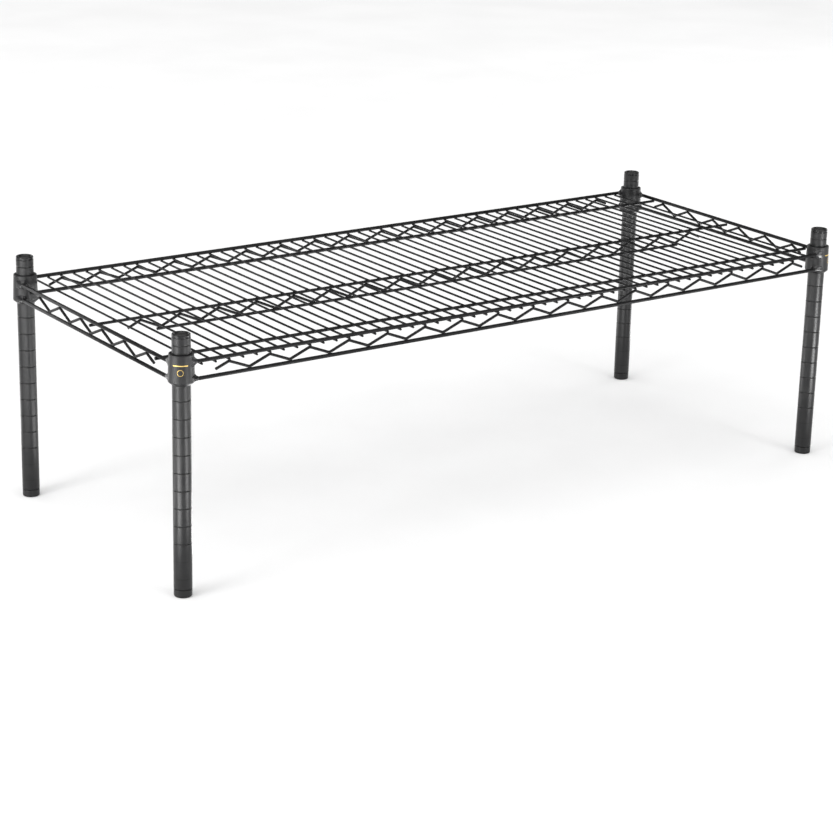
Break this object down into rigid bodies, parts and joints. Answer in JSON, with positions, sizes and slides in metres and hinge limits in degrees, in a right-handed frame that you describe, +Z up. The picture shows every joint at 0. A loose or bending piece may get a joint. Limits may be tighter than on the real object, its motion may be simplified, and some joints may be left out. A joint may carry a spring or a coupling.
{
  "type": "wire shelving rack",
  "caption": "Low wire rack: a welded wire shelf on four short grooved round posts, held by tapered split sleeves, with levelling feet.",
  "frame": {"origin": "on the floor, under the middle of the shelf", "axes": "+X along the shelf, +Y from the front to the back, +Z up"},
  "size_m": [1.1868, 0.4988, 0.3723],
  "materials": {
    "post_epoxy": "satin black epoxy powder coat",
    "wire_epoxy": "satin black epoxy powder coat",
    "collar_epoxy": "satin black epoxy powder coat",
    "foot_epoxy": "satin black coated steel",
    "cap_plastic": "satin black moulded plastic",
    "sleeve_plastic": "black moulded plastic",
    "insert_zinc": "zinc plated steel"
  },
  "bodies": {
    "posts": {"post_front_left": "post_epoxy", "post_front_right": "post_epoxy", "post_back_left": "post_epoxy", "post_back_right": "post_epoxy", "post_cap_front_left": "cap_plastic", "post_cap_front_right": "cap_plastic", "post_cap_back_left": "cap_plastic", "post_cap_back_right": "cap_plastic", "foot_insert_front_left": "insert_zinc", "foot_insert_front_right": "insert_zinc", "foot_insert_back_left": "insert_zinc", "foot_insert_back_right": "insert_zinc", "sleeve_outer_front_left": "sleeve_plastic", "sleeve_outer_front_right": "sleeve_plastic", "sleeve_outer_back_left": "sleeve_plastic", "sleeve_outer_back_right": "sleeve_plastic", "sleeve_inner_front_left": "sleeve_plastic", "sleeve_inner_front_right": "sleeve_plastic", "sleeve_inner_back_left": "sleeve_plastic", "sleeve_inner_back_right": "sleeve_plastic"},
    "shelf": {"collar_front_left": "collar_epoxy", "collar_front_right": "collar_epoxy", "collar_back_left": "collar_epoxy", "collar_back_right": "collar_epoxy", "rail_top_front": "wire_epoxy", "rail_top_back": "wire_epoxy", "rail_top_left": "wire_epoxy", "rail_top_right": "wire_epoxy", "rail_bottom_front": "wire_epoxy", "rail_bottom_back": "wire_epoxy", "rail_bottom_left": "wire_epoxy", "rail_bottom_right": "wire_epoxy", "zigzag_wire_front": "wire_epoxy", "zigzag_wire_back": "wire_epoxy", "zigzag_wire_left": "wire_epoxy", "zigzag_wire_right": "wire_epoxy", "centre_truss_top_wire": "wire_epoxy", "centre_truss_bottom_wire": "wire_epoxy", "centre_truss_zigzag_wire": "wire_epoxy", "deck_wire_mat": "wire_epoxy"},
    "foot_fl": {"levelling_foot_front_left": "foot_epoxy"},
    "foot_fr": {"levelling_foot_front_right": "foot_epoxy"},
    "foot_bl": {"levelling_foot_back_left": "foot_epoxy"},
    "foot_br": {"levelling_foot_back_right": "foot_epoxy"}
  },
  "joints": [
    {"name": "shelf_lift", "type": "slide", "parent": "posts", "child": "shelf", "axis": [0, 0, 1], "range_m": [0, 0.07]},
    {"name": "level_front_left", "type": "slide", "parent": "posts", "child": "foot_fl", "axis": [0, 0, -1], "range_m": [0, 0.015]},
    {"name": "level_front_right", "type": "slide", "parent": "posts", "child": "foot_fr", "axis": [0, 0, -1], "range_m": [0, 0.015]},
    {"name": "level_back_left", "type": "slide", "parent": "posts", "child": "foot_bl", "axis": [0, 0, -1], "range_m": [0, 0.015]},
    {"name": "level_back_right", "type": "slide", "parent": "posts", "child": "foot_br", "axis": [0, 0, -1], "range_m": [0, 0.015]}
  ]
}
